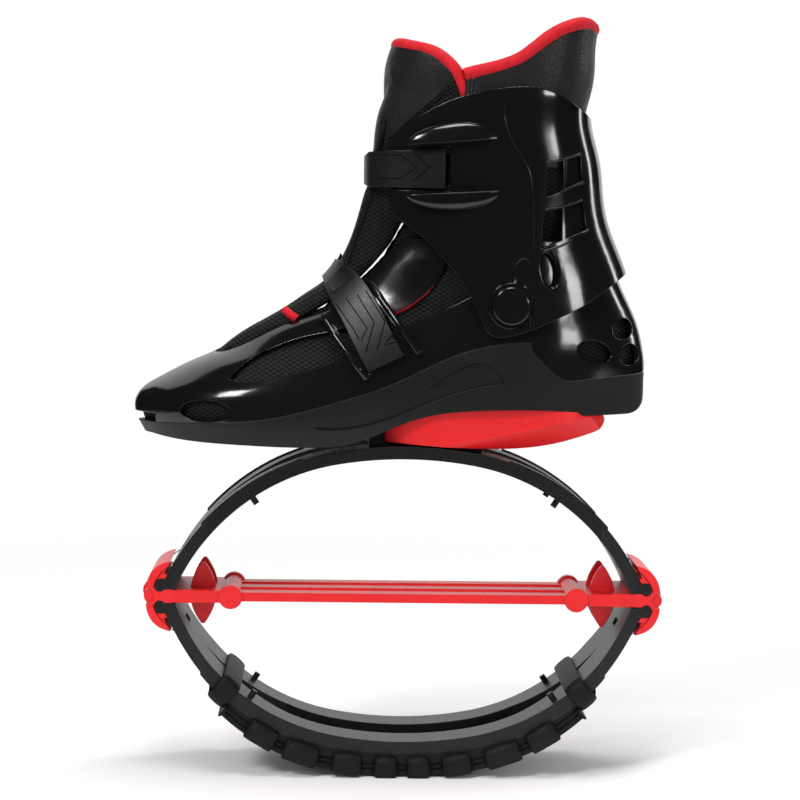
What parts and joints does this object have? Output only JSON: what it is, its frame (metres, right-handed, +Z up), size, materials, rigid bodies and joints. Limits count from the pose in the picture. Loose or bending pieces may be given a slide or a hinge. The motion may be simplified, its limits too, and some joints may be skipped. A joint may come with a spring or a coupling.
{
  "type": "jumping shoe",
  "caption": "Rebound boot: hinged plastic shoe on a sprung oval of two leaf arches with a lugged rubber tread and a red tension band between them.",
  "frame": {"origin": "on the ground under the middle of the tread, on the mid-plane between the shoe's two sides", "axes": "+Z up, +X towards the heel, -X towards the toe, -Y towards the inner side seen in the picture"},
  "size_m": [0.3241, 0.1148, 0.4556],
  "materials": {
    "arch": "moulded, lightly textured",
    "tread": "matt",
    "red_plastic": "satin",
    "steel": "zinc plated",
    "grey_plastic": "matt",
    "gloss_shell": "glossy",
    "liner": "soft mesh and padded cloth",
    "insole": "cloth-faced foam",
    "red_piping": "woven piping",
    "strap": "flexible moulded strap",
    "buckle": "satin"
  },
  "bodies": {
    "lower_spring": {"lower_spring_arch": "arch", "tread_sole": "tread", "tread_clip_front": "tread", "tread_clip_rear": "tread"},
    "band": {"tension_band": "red_plastic"},
    "boot": {"upper_spring_arch": "arch", "arch_clamp_plate": "steel", "arch_mount_bolts": "steel", "sole_base": "grey_plastic", "sole_fairing": "red_plastic", "lower_shell": "gloss_shell", "hinge_rivet_near": "gloss_shell", "hinge_rivet_far": "gloss_shell", "inner_boot": "liner", "insole": "insole", "tongue": "liner", "collar_piping": "red_piping", "instep_strap": "strap", "instep_strap_rivet": "steel", "instep_buckle_base": "buckle", "instep_buckle_pins": "steel"},
    "cuff": {"cuff_shell": "gloss_shell", "cuff_strap": "strap", "cuff_strap_rivet": "steel", "cuff_buckle_base": "buckle", "cuff_buckle_pins": "steel"},
    "instep_lever": {"instep_buckle_lever": "buckle"},
    "instep_pawl": {"instep_buckle_pawl": "buckle"},
    "cuff_lever": {"cuff_buckle_lever": "buckle"},
    "cuff_pawl": {"cuff_buckle_pawl": "buckle"}
  },
  "joints": [
    {"name": "spring_compression", "type": "slide", "parent": "lower_spring", "child": "band", "axis": [0, 0, 1], "range_m": [-0.025, 0], "stiffness_N_per_m": 70000, "deforming": ["lower_spring_arch"]},
    {"name": "upper_compression", "type": "slide", "parent": "band", "child": "boot", "axis": [0, 0, 1], "range_m": [-0.025, 0], "stiffness_N_per_m": 70000, "deforming": ["upper_spring_arch"]},
    {"name": "cuff_hinge", "type": "hinge", "parent": "boot", "child": "cuff", "pos_m": [0.0606, 0, 0.2854], "axis": [0, 1, 0], "range_deg": [-10, 0], "stiffness_Nm_per_rad": 25, "deforming": ["inner_boot", "tongue"]},
    {"name": "instep_lever_hinge", "type": "hinge", "parent": "boot", "child": "instep_lever", "pos_m": [-0.01527, 0.05364, 0.25813], "axis": [0.8649, -0.1022, 0.4915], "range_deg": [0, 70]},
    {"name": "instep_pawl_hinge", "type": "hinge", "parent": "boot", "child": "instep_pawl", "pos_m": [-0.02249, 0.04899, 0.26987], "axis": [-0.8649, 0.1022, -0.4915], "range_deg": [0, 20], "stiffness_Nm_per_rad": 0.1},
    {"name": "cuff_lever_hinge", "type": "hinge", "parent": "cuff", "child": "cuff_lever", "pos_m": [0.04065, 0.05466, 0.36473], "axis": [-0.0198, -0.0028, 0.9998], "range_deg": [0, 70]},
    {"name": "cuff_pawl_hinge", "type": "hinge", "parent": "cuff", "child": "cuff_pawl", "pos_m": [0.02644, 0.05164, 0.36444], "axis": [0.0198, 0.0028, -0.9998], "range_deg": [0, 20], "stiffness_Nm_per_rad": 0.1}
  ],
  "couplings": [
    {"joint": "upper_compression", "follows": "spring_compression", "ratio": 1}
  ]
}
